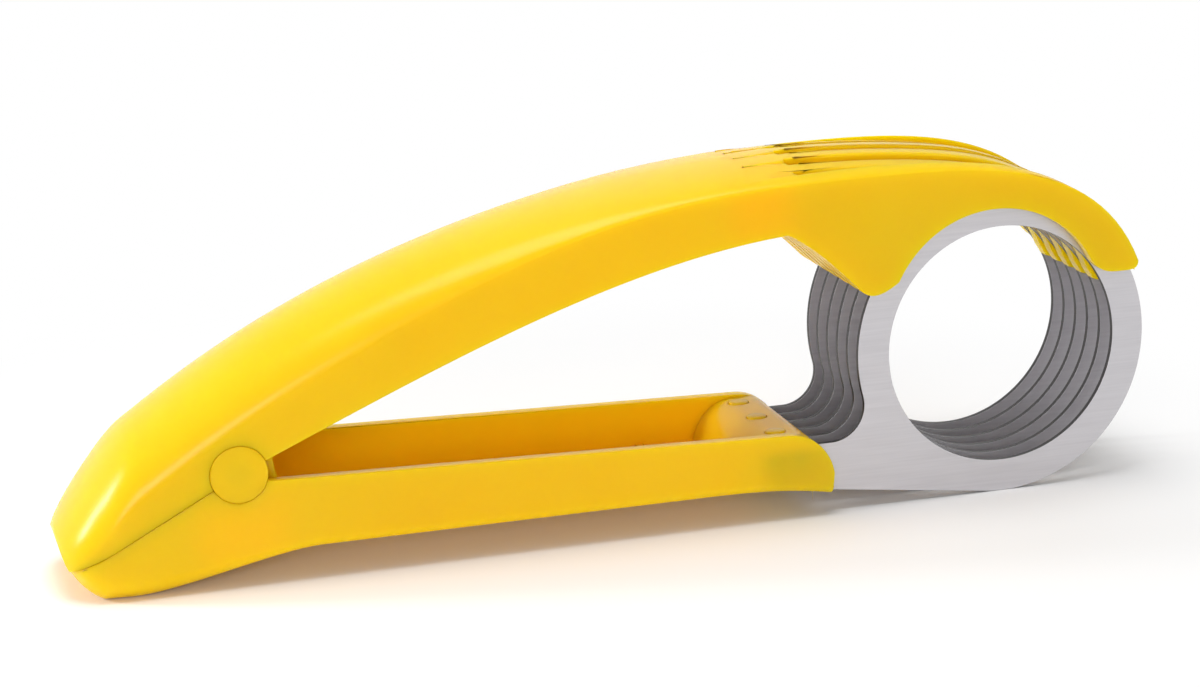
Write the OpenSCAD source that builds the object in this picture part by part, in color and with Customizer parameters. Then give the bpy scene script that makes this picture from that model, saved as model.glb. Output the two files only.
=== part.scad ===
// Hand-held banana slicer. Six steel rings stand in a row on the lower arm and the banana goes
// through them. Squeezing the arms drives the comb of the upper arm down between the rings.
// Millimetres, +X from the tail to the rings, +Z up, symmetric about Y = 0.

/* [Overall] */
// Length from the tail to the front of the rings
overall_len = 191; // [185:1:200]
// Wall thickness of the two moulded arms
wall = 2.2; // [1.8:0.1:2.6]
// Gap between the two arms where the tails meet
arm_gap = 0.3; // [0.2:0.05:0.6]
// Radius of the tail's corners, seen from above
tail_corner_r = 9.4; // [8:0.2:11]

/* [Steel blades] */
// Diameter of the hole in each ring
ring_bore = 42; // [38:0.5:44]
// Width of the steel band round the hole
ring_band = 5.7; // [4.5:0.1:6.5]
// Thickness of one blade
blade_t = 1; // [0.8:0.1:1.2]
// Distance from one blade to the next
blade_pitch = 5; // [4.6:0.1:5.4]
// Width of the ground bevel on the ring's inner edge
edge_bevel = 0.3; // [0.1:0.05:0.4]
// Radius of the throat between ring and shank
throat_r = 6.1; // [5:0.1:7]
// Height of the throat's lowest point below the ring's centre
throat_drop = 14.3; // [13:0.1:15]
// Slope of the web's lower edge, in degrees
web_angle = 7.4; // [6:0.2:8.4]
// Height of the tang that the holder grips
tang_h = 4; // [3.4:0.1:4.2]
// Length of the tang inside the holder
tang_len = 9.2; // [8.8:0.1:9.4]

/* [Upper arm] */
// Height of the back at its highest point
crest_h = 62.4; // [60:0.2:66]
// Height of the bend where the tail rises into the back
knee_h = 26.2; // [25:0.1:28]
// Slope of the back at that bend, in degrees
knee_angle = 33.5; // [31:0.5:36]
// Height of the back's crown over its side edges, at the tail
crown_tail = 10; // [8:0.5:11]
// Height of the crown at the comb
crown_comb = 3.5; // [2.5:0.1:4.5]
// Slope of the lower edge where it leaves the pivot, in degrees
edge_angle = 23; // [21:0.5:24]
// Height of the comb's lower ends above the rings' centres
comb_drop = 11.4; // [10:0.1:13]
// How much lower the inner teeth reach than the outer walls
tooth_extra = 2.4; // [0:0.1:3]
// How far the comb's hollow lies inside the rings' holes
comb_inset = 1; // [0.5:0.1:2]
// Thickness of the comb's fins, which pass between the blades
fin_t = 2.6; // [2.2:0.1:3.4]
// How far the fins reach into the rings' holes
fin_in = 0.6; // [0:0.1:1]
// Gap between the outer blades and the comb's walls
slot_gap = 0.3; // [0.25:0.05:0.4]

/* [Lower arm] */
// Height of the lower arm's underside above the table, between its ends
arch_h = 5.6; // [5:0.1:6.4]
// Thickness of the trough's floor
floor_t = 1.8; // [1.5:0.1:2.2]
// Height of the trough's rim next to the pivot
rim_back_h = 17.9; // [17.4:0.1:18.6]
// Height of the trough's rim at the blade holder
rim_front_h = 15.2; // [14.4:0.1:16]
// Radius of the lower edges of the trough
keel_r = 1.5; // [1:0.1:2.2]

/* [Pivot] */
// Distance of the pivot from the tail's end
pivot_back = 29.4; // [27:0.2:32]
// Height of the pivot above the table
pivot_h = 19.5; // [18.5:0.1:20.5]
// Diameter of the steel pin
pin_d = 4; // [3:0.1:5]
// Diameter of the flush caps over the pin's ends
cap_d = 9.6; // [8:0.1:11]
// Gap round the caps and beside the pivot lugs
cap_gap = 0.25; // [0.2:0.05:0.35]
// Running clearance of the pin in the upper arm, on the radius
pin_fit = 0.05; // [0.02:0.01:0.1]
// Thickness of each pivot lug
lug_t = 2.2; // [1.8:0.1:2.6]
// Angle of the parting line between the two tails, in degrees
parting_angle = 27.5; // [26:0.5:29]

/* [Spring] */
// Diameter of the spring wire
wire_d = 1.2; // [1:0.1:1.4]
// Radius of the coil at the middle of the wire
coil_r = 3.3; // [3.2:0.1:4]
// Length of the leg under the roof
leg_len = 28; // [22:1:29]
// Length of the leg in the trough
low_leg_len = 16; // [14:1:20]

/* [Blade holder] */
// Length of the holder's level top
holder_top_len = 5.8; // [5:0.2:7]
// Length of the holder's rounded back
holder_ramp = 7.5; // [6.5:0.1:8.5]
// Height of the rim above the holder's top
holder_step = 0.5; // [0.2:0.1:1]
// Diameter of the cross pins through the tangs
cross_pin_d = 2; // [1.6:0.1:2.2]
// Diameter of the peg heads
peg_head_d = 3.5; // [3:0.1:4]
// Diameter of the pegs
peg_d = 2; // [1.6:0.1:2.4]

/* [Hidden] */

yellow = [0.95, 0.72, 0.07];
steel = [0.72, 0.72, 0.75];
blade_n = 6;
round_fn = 96;
eps = 0.01;
far = 100;

// Places that everything else is worked out from
tail_x = -overall_len / 2;
ring_r = ring_bore / 2;
rim_r = ring_r + ring_band;
ring_x = overall_len / 2 - rim_r;
ring_z = rim_r;
pivot_x = tail_x + pivot_back;
slot_w = blade_pitch - fin_t;
inner_w = (blade_n - 1) / 2 * blade_pitch + blade_t / 2 + slot_gap;
half_w = inner_w + wall;
function blade_y(i) = (i - (blade_n + 1) / 2) * blade_pitch;

// Front ends, measured back from the rings' centre line
shank_x = ring_x - rim_r - 8.8;
wall_front_x = ring_x - rim_r - 6.2;
slot_back_x = ring_x - rim_r - 14.6;
comb_root_x = slot_back_x - 8.9;
holder_x = shank_x;
holder_z = rim_front_h - holder_step;

// ---- Curves ----

function bez(p, t) = pow(1 - t, 3) * p[0] + 3 * pow(1 - t, 2) * t * p[1]
    + 3 * (1 - t) * t * t * p[2] + t * t * t * p[3];
function bez_dir(p, t) = 3 * pow(1 - t, 2) * (p[1] - p[0]) + 6 * (1 - t) * t * (p[2] - p[1])
    + 3 * t * t * (p[3] - p[2]);
function curve(p, n, first = 0) = [for (i = [first:n]) bez(p, i / n)];
function heading(a) = [cos(a), sin(a)];
function ease(t) = let (u = min(1, max(0, t))) u * u * (3 - 2 * u);
function unit(v) = v / norm(v);

// Centre line of the upper arm's back: tail, long back, and nose over the rings
tail_tip = [tail_x, 9.5];
knee = [tail_x + 13.2, knee_h];
crest = [ring_x - 24, crest_h];
nose = [ring_x + rim_r - 1.9, ring_z + 13];
tail_curve = [tail_tip, tail_tip + [0.4, 1], knee - 5.3 * heading(knee_angle), knee];
back_curve = [knee, knee + 14 * heading(knee_angle), crest - [77.5, 0], crest];
nose_curve = [crest - [0, crown_comb], crest + [21.2, -crown_comb], nose + 20.3 * heading(112), nose];

// Height of the crown over the side edges, at x
function crown(x) = x < crest[0]
    ? crown_tail + (crown_comb - crown_tail) * ease((x - pivot_x) / (crest[0] - 30 - pivot_x))
    : crown_comb * max(0, 1 - pow(1.3 * (x - crest[0]) / (nose[0] - crest[0]), 2));
// Half width of either arm at x, with a wall of thickness t taken off
function plan_w(x, t) = let (r = tail_corner_r - t, u = max(0, r - (x - tail_x - t)))
    half_w - t - r + sqrt(max(0, r * r - u * u));

// Stations along the back: [x, height of the crown's top], each moved in by t along its normal
function station(p, u, t) = let (q = bez(p, u), d = unit(bez_dir(p, u))) [q[0] + t * d[1], q[1] - t * d[0]];
function back_line(t, n) = concat(
    [for (i = [0:n - 1]) station(tail_curve, i / n, t)],
    [for (i = [0:2 * n - 1]) station(back_curve, i / (2 * n), t)]);
function nose_line(n) = [for (i = [0:n]) let (q = bez(nose_curve, i / n)) [q[0], q[1] + crown(q[0])]];

// Cross-section of the upper arm at one station: straight sides, crowned top
function crown_section(s, t, n, z0) =
    let (c = min(crown(s[0]) - 0.7 * t, 0.5 * s[1]), w = plan_w(s[0], t), e = 1 - 0.1 * ease((s[0] - pivot_x) / 80))
    concat([[s[0], -w, z0]],
        [for (i = [0:n]) let (a = 180 - 180 * i / n)
            [s[0], w * sign(cos(a)) * pow(abs(cos(a)), e), s[1] - c + c * pow(sin(a), e)]],
        [[s[0], w, z0]]);

// Underside of the lower arm: round tail, flat foot on the table, rise to the arch, fall to the front
foot_x = tail_x + 6.7;
foot_len = 4.6;
under_tail = [tail_tip, tail_tip + [0.8, -7.5], [foot_x - 0.4, 0], [foot_x, 0]];
under_rise = [[foot_x + foot_len, 0], [foot_x + foot_len + 8, 0], [foot_x + 27.5, arch_h], [foot_x + 36, arch_h]];
under_front = [[wall_front_x - 22, arch_h], [wall_front_x - 12, arch_h], [wall_front_x - 6, 5.2],
    [wall_front_x + 2, 3.5]];
function under_line(n) = concat(curve(under_tail, n), curve(under_rise, n), curve(under_front, n));
// The trough's floor runs floor_t above the underside and starts one wall in from the tail
function trough_x(x) = x > foot_x ? x : foot_x - (foot_x - x) * (foot_x - tail_x - wall) / (foot_x - tail_x);

// How much rounder those edges are at the tail
keel_tail = 2.5;

// Cross-section of the lower arm at one station: straight sides, rounded lower edges
function keel_section(s, t, n) =
    let (w = plan_w(s[0], t), r = max(0.6, keel_r + keel_tail * (1 - ease((s[0] - foot_x) / 34)) - t),
        k = min(r, w - 1))
    concat([[s[0], w, far]],
        [for (i = [0:n]) let (a = -90 * i / n) [s[0], w - k + k * cos(a), s[1] + r + r * sin(a)]],
        [for (i = [0:n]) let (a = -90 - 90 * i / n) [s[0], -w + k + k * cos(a), s[1] + r + r * sin(a)]],
        [[s[0], -w, far]]);

// Solid through a row of cross-sections that have the same number of points
module skin(rows) {
    m = len(rows[0]);
    n = len(rows);
    polyhedron(points = [for (r = rows) each r], convexity = 6, faces = concat(
        [[for (j = [m - 1:-1:0]) j]],
        [[for (j = [0:m - 1]) (n - 1) * m + j]],
        [for (i = [0:n - 2]) for (j = [0:m - 1])
            [i * m + j, i * m + (j + 1) % m, (i + 1) * m + (j + 1) % m, (i + 1) * m + j]]));
}

// Side outline, drawn in X and Z, given a thickness along Y from y0 to y1
module side(y0, y1) {
    translate([0, y1, 0]) rotate([90, 0, 0]) linear_extrude(y1 - y0) children();
}

// Round bar along Y
module bar(x, z, r, y0, y1) {
    translate([x, y1, z]) rotate([90, 0, 0]) cylinder(r = r, h = y1 - y0, $fn = round_fn);
}

module both_sides() {
    children();
    mirror([0, 1, 0]) children();
}

// ---- Side outlines of the two arms ----

function parting_z(x) = pivot_h + (x - pivot_x) * tan(parting_angle);
part_shift = arm_gap / 2 / cos(parting_angle);

// Lower edge of the upper arm, from the pivot to the comb
edge_start = [pivot_x, pivot_h] + (cap_d / 2) * heading(edge_angle);
heel_top = [ring_x - rim_r - 13, ring_z + comb_drop + 12.1];
edge_curve = [edge_start, edge_start + 30 * heading(edge_angle), heel_top - [30, 2.2], heel_top];
// Back of the heel, then its rounded toe
comb_z = ring_z + comb_drop;
toe_x = ring_x - rim_r + 1.1;
heel_curve = [heel_top, heel_top + [4.5, -2.4], [toe_x - 5.2, comb_z + 5.2], [toe_x - 1.2, comb_z + 1.2]];
toe_curve = [[toe_x - 1.2, comb_z + 1.2], [toe_x + 0.6, comb_z - 0.5], [toe_x + 2.6, comb_z - 0.3],
    [toe_x + 6.5, comb_z + 2.6]];
// Front end of the comb, from its inner corner round to the tip
comb_r = ring_r - comb_inset;
comb_x = ring_x - 1.9;
comb_centre_z = ring_z + 4.6;
function leg_curve(z) = [[ring_x + 15.4, z + 3], [ring_x + 17.4, z + 0.3], [ring_x + 18.6, z - 0.1],
    [nose[0] - 3, z]];
function tip_curve(z) = [[nose[0] - 2, z], [nose[0] - 0.6, z + 0.1], [nose[0] - 0.1, z + 0.4], [nose[0], z + 1.4]];

module upper_outline() {
    difference() {
        upper_profile();
        polygon(concat(curve(under_tail, 8), [[foot_x, -far], [tail_x - 5, -far], [tail_x - 5, tail_tip[1]]]));
    }
}

module upper_profile() {
    polygon(concat(
        [[tail_x - 1, far], [tail_x - 1, parting_z(tail_x - 1) + part_shift], [pivot_x, pivot_h + part_shift]],
        curve(edge_curve, 16),
        curve(heel_curve, 8, 1),
        curve(toe_curve, 6, 1),
        curve(leg_curve(comb_z), 6),
        curve(tip_curve(comb_z), 4),
        [[nose[0] + 5, comb_z + 8], [nose[0] + 5, far]]));
}

// Front of the lower arm's walls, from the rim down to the lower corner
front_top = [wall_front_x - 7.4, rim_front_h];
front_curve = [front_top, front_top + [5.2, -0.2], [wall_front_x + 0.4, rim_front_h - 4.4],
    [wall_front_x + 0.8, 7.6]];

module lower_outline() {
    polygon(concat(
        [[tail_x - 1, -1], [tail_x - 1, parting_z(tail_x - 1) - part_shift], [pivot_x, pivot_h - part_shift],
            [pivot_x + cap_d / 2 + 0.2, rim_back_h]],
        curve(front_curve, 10),
        [[wall_front_x + 0.4, 3.4], [wall_front_x + 0.4, -1]]));
}

// ---- Sub-parts ----

module cap_recess() {
    both_sides() bar(pivot_x, pivot_h, cap_d / 2 + cap_gap, inner_w - cap_gap, half_w + 1);
}

// Cross ribs stand in a hollow as gaps in what is taken away
rib_t = 1.4;
rib_d = 4.5;
module upper_hollow() {
    difference() {
        intersection() {
            skin([for (s = back_line(wall, 9)) crown_section(s, wall, 12, -1)]);
            translate([tail_x, -half_w, 0]) cube([comb_root_x - tail_x, 2 * half_w, far]);
        }
        for (k = [1:4]) {
            x = comb_root_x - 14 * k;
            translate([x, -half_w, bez(edge_curve, (x - edge_start[0]) / (heel_top[0] - edge_start[0]))[1] + rib_d])
                cube([rib_t, 2 * half_w, far]);
        }
    }
}

// One lug of the upper arm: a round eye under the roof
lug_in = inner_w - 2 * cap_gap - lug_t;
module upper_lug() {
    side(lug_in - cap_gap - lug_t, lug_in - cap_gap) {
        translate([pivot_x, pivot_h]) circle(pin_d / 2 + 3.6, $fn = round_fn);
        polygon([[pivot_x - pin_d / 2 - 3.6, pivot_h], [pivot_x + pin_d / 2 + 3.6, pivot_h],
            [pivot_x + 7.6, pivot_h + 17], [pivot_x - 6.4, pivot_h + 9.2]]);
    }
}

// Teeth between the blades reach a little lower than the outer walls
tooth_root = 12;
tooth_tip_h = 6;
module inner_teeth() {
    side(slot_gap - inner_w, inner_w - slot_gap) polygon(concat(
        [[ring_x + tooth_root, comb_z + tooth_root]],
        curve(leg_curve(comb_z - tooth_extra), 6),
        curve(tip_curve(comb_z - tooth_extra), 4),
        [[nose[0] - 1.5, comb_z + tooth_tip_h]]));
}

// Slots for the blades: each starts as a shallow run in the back, then goes right through the comb
slot_run = 8;
slot_run_d = 0.8;
back_points = back_line(0, 9);
function crown_drop(y) = crown_comb * (1 - pow(1 - pow(abs(y) / half_w, 2 / 0.9), 0.45));
module slots() {
    run_x = slot_back_x - slot_run;
    for (i = [1:blade_n])
        translate([0, 0, -crown_drop(blade_y(i))])
            side(max(-inner_w, blade_y(i) - slot_w / 2), min(inner_w, blade_y(i) + slot_w / 2)) polygon([
                [run_x, lookup(run_x, back_points)], [slot_back_x, lookup(slot_back_x, back_points) - slot_run_d],
                [slot_back_x, 0], [far, 0], [far, far], [run_x, far]]);
}

module upper_arm() {
    color(yellow) difference() {
        union() {
            difference() {
                intersection() {
                    skin([for (s = concat(back_line(0, 9), nose_line(12))) crown_section(s, 0, 16, 0)]);
                    side(-half_w, half_w) upper_outline();
                }
                upper_hollow();
            }
            both_sides() upper_lug();
            inner_teeth();
        }
        bar(comb_x, comb_centre_z, comb_r, -half_w - 1, half_w + 1);
        bar(ring_x, ring_z, ring_r - fin_in, -inner_w, inner_w);
        slots();
        bar(pivot_x, pivot_h, pin_d / 2 + pin_fit, -half_w, half_w);
        cap_recess();
    }
}

// One lug of the lower arm: a round eye beside the wall, on a pad that joins it to the wall
module lower_lug() {
    side(lug_in, lug_in + lug_t) {
        translate([pivot_x, pivot_h]) circle(pin_d / 2 + 4.2, $fn = round_fn);
        polygon([[pivot_x - pin_d / 2 - 4.2, pivot_h], [pivot_x - 9, 3], [pivot_x + 9.4, arch_h + 0.8],
            [pivot_x + pin_d / 2 + 4.2, pivot_h]]);
    }
    side(lug_in + lug_t - eps, inner_w + eps)
        polygon([[pivot_x - 8, 4], [pivot_x - 8, parting_z(pivot_x - 8) - 1], [pivot_x, pivot_h - 1],
            [pivot_x + 8, rim_back_h - 1], [pivot_x + 8, arch_h + 1]]);
}

module trough_hollow() {
    difference() {
        skin([for (s = under_line(6)) keel_section([trough_x(s[0]), s[1] + floor_t], wall, 3)]);
        for (k = [0:3])
            translate([shank_x - 24 - 16 * k, -half_w, 0]) cube([rib_t, 2 * half_w, arch_h + floor_t + 1.6]);
    }
}

module lower_arm() {
    color(yellow) difference() {
        union() {
            difference() {
                intersection() {
                    skin([for (s = under_line(8)) keel_section(s, 0, 5)]);
                    side(-half_w, half_w) lower_outline();
                }
                trough_hollow();
            }
            both_sides() lower_lug();
        }
        translate([shank_x, -inner_w, -1]) cube([far, 2 * inner_w, far]);
        bar(pivot_x, pivot_h, pin_d / 2, -half_w, half_w);
        cap_recess();
        for (x = cross_pin_x) bar(x, cross_pin_z, cross_pin_d / 2, -inner_w - cross_pin_end, inner_w + cross_pin_end);
        for (y = peg_y) translate([peg_x, y, peg_foot_z]) cylinder(d = peg_d, h = far, $fn = round_fn);
    }
}

// Tang: from the shank's end back into the holder
tang_z = ring_z - throat_drop - tang_h;
tang_back_x = holder_x - tang_len;
cross_pin_z = tang_z + tang_h / 2;
cross_pin_x = [holder_x - 2.6, holder_x - 7.6];
cross_pin_end = wall / 2;
cross_pin_play = 0.05;
web_gap = 0.2;

module blade(i) {
    throat_z = throat_r - throat_drop;
    throat_x = -sqrt(pow(rim_r + throat_r, 2) - throat_z * throat_z);
    meet = rim_r / (rim_r + throat_r) * [throat_x, throat_z];
    low = rim_r * heading(270 - web_angle);
    web_x = shank_x + web_gap - ring_x;
    tang_x = tang_back_x - ring_x;
    y = blade_y(i) - blade_t / 2;
    color(steel) translate([ring_x, 0, ring_z]) difference() {
        union() {
            bar(0, 0, rim_r, y, y + blade_t);
            side(y, y + blade_t) polygon([[tang_x, -throat_drop], [throat_x, -throat_drop], [throat_x, throat_z], meet,
                0.7 * meet, 0.8 * low, low, [web_x, low[1] + (low[0] - web_x) * tan(web_angle)],
                [web_x, -throat_drop - tang_h], [tang_x, -throat_drop - tang_h]]);
        }
        bar(throat_x, throat_z, throat_r, y - 1, y + blade_t + 1);
        bar(0, 0, ring_r, y - 1, y + blade_t + 1);
        for (x = cross_pin_x)
            bar(x - ring_x, cross_pin_z - ring_z, cross_pin_d / 2 + cross_pin_play, y - 1, y + blade_t + 1);
        translate([0, y + blade_t / 2, 0]) both_sides() translate([0, blade_t / 2 - edge_bevel, 0])
            rotate([-90, 0, 0]) cylinder(r1 = ring_r, r2 = ring_r + edge_bevel, h = edge_bevel, $fn = round_fn);
    }
}

// The holder's back is rounded, and its front follows the curve of the arm's front
holder_back_x = holder_x - holder_top_len;
holder_foot_x = holder_back_x - holder_ramp;
holder_foot_z = arch_h + floor_t + 0.3;
holder_back = [[holder_foot_x, holder_foot_z], [holder_foot_x + 1, holder_foot_z + 4.1],
    [holder_back_x - 3.7, holder_z], [holder_back_x, holder_z]];
holder_front_len = 6;
module blade_holder() {
    floor_z = arch_h + floor_t;
    color(yellow) difference() {
        side(-inner_w, inner_w) polygon(concat(
            curve(holder_back, 8),
            [[holder_x - 3, holder_z], [holder_x - 1.4, holder_z - 0.3], [holder_x - 0.3, holder_z - 1.1],
                [holder_x, holder_z - 2]],
            [[holder_x, tang_z], [holder_x - holder_front_len, floor_z]]));
        for (i = [1:blade_n])
            translate([tang_back_x - 0.2, blade_y(i) - blade_t / 2 - 0.05, 0])
                cube([far, blade_t + 0.1, tang_z + tang_h + 0.1]);
        for (x = cross_pin_x) bar(x, cross_pin_z, cross_pin_d / 2, -half_w, half_w);
        for (y = peg_y) translate([peg_x, y, 0]) cylinder(d = peg_d, h = far, $fn = round_fn);
        for (y = peg_y) translate([peg_x, y, holder_z - peg_seat])
            cylinder(d = peg_head_d + peg_gap, h = far, $fn = round_fn);
    }
}

module cross_pin(k) {
    color(steel) bar(cross_pin_x[k], cross_pin_z, cross_pin_d / 2, -inner_w - cross_pin_end, inner_w + cross_pin_end);
}

// Three pegs hold the holder down; each passes between two tangs
peg_x = holder_x - 5.5;
peg_y = [-2 * blade_pitch, 0, 2 * blade_pitch];
peg_seat = 0.5;
peg_gap = 0.2;
peg_foot_z = arch_h + 0.4;
module holder_pegs() {
    color(yellow) for (y = peg_y) translate([peg_x, y, 0]) {
        translate([0, 0, peg_foot_z]) cylinder(d = peg_d, h = holder_z - peg_seat - peg_foot_z, $fn = round_fn);
        translate([0, 0, holder_z - peg_seat]) cylinder(d = peg_head_d, h = peg_seat + 0.25, $fn = round_fn);
    }
}

// The pin stops short of the outer faces and the caps close over its ends
pin_reach = inner_w + 1.2;
module pivot_pin() {
    color(steel) bar(pivot_x, pivot_h, pin_d / 2, -pin_reach, pin_reach);
}

module pivot_cap(s) {
    color(yellow) scale([1, s, 1]) difference() {
        bar(pivot_x, pivot_h, cap_d / 2, inner_w - 0.15, half_w);
        bar(pivot_x, pivot_h, pin_d / 2, 0, pin_reach);
    }
}

// Torsion spring: lower leg down to the trough's floor, coil round the pin, upper leg up to the roof
leg_gap = 0.1;
leg_drop = pivot_h - arch_h - floor_t - wire_d / 2 - leg_gap;
low_leg_angle = -asin(leg_drop / norm([coil_r, low_leg_len])) - atan(coil_r / low_leg_len);
roof = [for (s = back_line(wall, 9)) [s[0], s[1] - wire_d / 2 - 4 * leg_gap]];
function leg_tip(a) = [pivot_x + coil_r * sin(a) + leg_len * cos(a), pivot_h - coil_r * cos(a) + leg_len * sin(a)];
high_leg_angle = max([for (a = [20:0.25:75]) if (leg_tip(a)[1] < lookup(leg_tip(a)[0], roof)) a]);
coil_turns = 4;
turn_steps = 18;
wire_sides = 8;
coil_start = 90 + low_leg_angle;
coil_sweep = 360 * coil_turns + 270 + high_leg_angle - coil_start;
coil_pitch = wire_d + 0.15;
function coil_point(a) = let (y = coil_pitch * (a / 360 - coil_sweep / 720))
    [coil_r * cos(coil_start + a), y, coil_r * sin(coil_start + a)];
function leg_dir(a) = [cos(a), 0, sin(a)];
spring_path = concat(
    [coil_point(0) + low_leg_len * leg_dir(low_leg_angle), coil_point(0) + 1.5 * leg_dir(low_leg_angle)],
    [for (i = [0:ceil(coil_sweep / 360 * turn_steps)])
        coil_point(i * coil_sweep / ceil(coil_sweep / 360 * turn_steps))],
    [coil_point(coil_sweep) + 1.5 * leg_dir(high_leg_angle), coil_point(coil_sweep) + leg_len * leg_dir(high_leg_angle)]);
function wire_ring(i) =
    let (p = spring_path, n = len(p) - 1, t = unit(p[min(n, i + 1)] - p[max(0, i - 1)]),
        u = unit(cross(t, [0, 1, 0])), v = cross(t, u))
    [for (j = [0:wire_sides - 1]) let (a = 360 * j / wire_sides)
        p[i] + wire_d / 2 * (cos(a) * u + sin(a) * v)];

module torsion_spring() {
    color(steel) translate([pivot_x, 0, pivot_h])
        skin([for (i = [0:len(spring_path) - 1]) wire_ring(i)]);
}

lower_arm();
upper_arm();
blade(1);  // blade_1
blade(2);  // blade_2
blade(3);  // blade_3
blade(4);  // blade_4
blade(5);  // blade_5
blade(6);  // blade_6
blade_holder();
cross_pin(0);  // front_cross_pin
cross_pin(1);  // rear_cross_pin
holder_pegs();
pivot_pin();
pivot_cap(-1);  // left_pivot_cap
pivot_cap(1);  // right_pivot_cap
torsion_spring();
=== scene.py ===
# %% [markdown]
# # A banana slicer, dressed for its picture
#
# The slicer is a hand tool in two yellow plastic arms with a pin between them. Six steel rings
# stand in the lower arm, a banana is pushed through them, and a squeeze drives the comb of the
# upper arm down between the rings. The solids come from the CAD model, in metres and in one
# frame: X runs from the tail to the rings, Z is up and Y = 0 is the middle.
#
# First the imported model is loaded, and its parts are kept by name.

# %% Load the CAD model
from math import asin, atan, ceil, cos, degrees, pi, radians, sin, sqrt, tan

import bmesh
import bpy
import numpy as np
from mathutils import Matrix, Vector

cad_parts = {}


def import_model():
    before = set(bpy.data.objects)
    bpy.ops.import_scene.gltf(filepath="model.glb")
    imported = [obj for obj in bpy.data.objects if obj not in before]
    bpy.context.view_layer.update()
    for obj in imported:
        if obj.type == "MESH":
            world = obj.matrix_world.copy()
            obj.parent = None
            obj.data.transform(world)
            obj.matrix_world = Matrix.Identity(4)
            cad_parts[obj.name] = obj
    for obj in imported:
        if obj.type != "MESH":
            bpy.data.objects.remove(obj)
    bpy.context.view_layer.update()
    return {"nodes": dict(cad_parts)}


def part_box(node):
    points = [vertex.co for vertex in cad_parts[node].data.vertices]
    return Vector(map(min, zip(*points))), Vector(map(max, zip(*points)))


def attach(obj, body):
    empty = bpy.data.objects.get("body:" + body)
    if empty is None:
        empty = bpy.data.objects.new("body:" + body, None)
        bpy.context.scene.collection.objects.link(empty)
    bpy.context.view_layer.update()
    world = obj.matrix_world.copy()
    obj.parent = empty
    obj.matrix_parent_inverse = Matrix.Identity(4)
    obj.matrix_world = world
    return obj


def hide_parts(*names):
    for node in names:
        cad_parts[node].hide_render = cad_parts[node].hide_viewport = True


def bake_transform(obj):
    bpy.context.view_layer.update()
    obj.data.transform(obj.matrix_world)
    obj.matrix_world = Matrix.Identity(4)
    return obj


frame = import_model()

# %% [markdown]
# ## The camera
#
# A long lens from a little to the left of the tool and a little above it. A long lens keeps the
# near ring and the far ring almost the same size. The camera is turned by three angles: the way
# it looks round the tool, the way it looks down, and a small roll.

# %% Camera
CAMERA_AT = Vector((-0.13329, -0.48147, 0.16094))
LOOK_ROUND, LOOK_DOWN, ROLL = radians(15.45), radians(14.59), radians(-2.12)


def aim_camera():
    ahead = Vector((sin(LOOK_ROUND) * cos(LOOK_DOWN), cos(LOOK_ROUND) * cos(LOOK_DOWN), -sin(LOOK_DOWN)))
    level = Vector((cos(LOOK_ROUND), -sin(LOOK_ROUND), 0))
    over = level.cross(ahead)
    right = cos(ROLL) * level + sin(ROLL) * over
    up = cos(ROLL) * over - sin(ROLL) * level
    turn = Matrix((right, up, -ahead)).transposed()
    data = bpy.data.cameras.new("camera")
    data.lens, data.sensor_width, data.sensor_fit = 90, 36, "HORIZONTAL"
    data.dof.use_dof = False
    camera = bpy.data.objects.new("camera", data)
    bpy.context.scene.collection.objects.link(camera)
    camera.matrix_world = Matrix.Translation(CAMERA_AT) @ turn.to_4x4()
    bpy.context.scene.camera = camera
    return camera


camera = aim_camera()
print("camera", round((CAMERA_AT - Vector((0, 0, 0.03))).length, 3), "m from the middle of the tool")

# %% [markdown]
# ## Sizes
#
# The pieces below are made again from the sizes that the CAD model was drawn with, because the
# dressed pieces have finer curves and rounded edges. Sizes here are in millimetres, and every
# mesh is brought to metres in one place.

# %% Sizes, in millimetres
OVERALL, WALL, ARM_GAP, TAIL_CORNER = 191.0, 2.2, 0.06, 9.4
BORE, BAND, BLADE_T, PITCH, BLADES = 42.0, 5.7, 1.0, 5.0, 6
THROAT_R, THROAT_DROP, WEB_ANGLE, TANG_H = 6.1, 14.3, 7.4, 4.0
CREST_H, KNEE_H, KNEE_ANGLE, CROWN_TAIL, CROWN_COMB = 62.4, 26.2, 33.5, 10.0, 3.5
EDGE_ANGLE, COMB_DROP, TOOTH_EXTRA, COMB_INSET = 23.0, 11.4, 2.4, 1.0
FIN_T, FIN_IN, SIDE_GAP = 2.6, 0.6, 0.3
ARCH_H, FLOOR_T, RIM_BACK, RIM_FRONT, KEEL_R = 5.6, 1.8, 17.9, 15.2, 1.5
PIVOT_BACK, PIVOT_H, PIN_D, CAP_D, CAP_GAP = 29.4, 19.5, 4.0, 9.6, 0.04
LUG_T, LUG_GAP, PARTING_ANGLE, TANG_LEN = 2.2, 0.25, 27.5, 9.2
FAR = 100.0        # beyond everything, for cutters

TAIL_X = -OVERALL / 2
RING_R = BORE / 2
RIM_R = RING_R + BAND
RING_X, RING_Z = OVERALL / 2 - RIM_R, RIM_R
PIVOT_X = TAIL_X + PIVOT_BACK
SLOT_W = PITCH - FIN_T
INNER_W = (BLADES - 1) / 2 * PITCH + BLADE_T / 2 + SIDE_GAP
HALF_W = INNER_W + WALL
SHANK_X = RING_X - RIM_R - 8.8
WALL_FRONT_X = RING_X - RIM_R - 6.2
SLOT_BACK_X = RING_X - RIM_R - 14.6
COMB_ROOT_X = SLOT_BACK_X - 8.9
HOLDER_Z = RIM_FRONT - 0.5
BLADE_Y = [(i - (BLADES - 1) / 2) * PITCH for i in range(BLADES)]
print("rings centred at x", round(RING_X, 1), "and pivot at x", round(PIVOT_X, 1), "mm")

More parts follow.
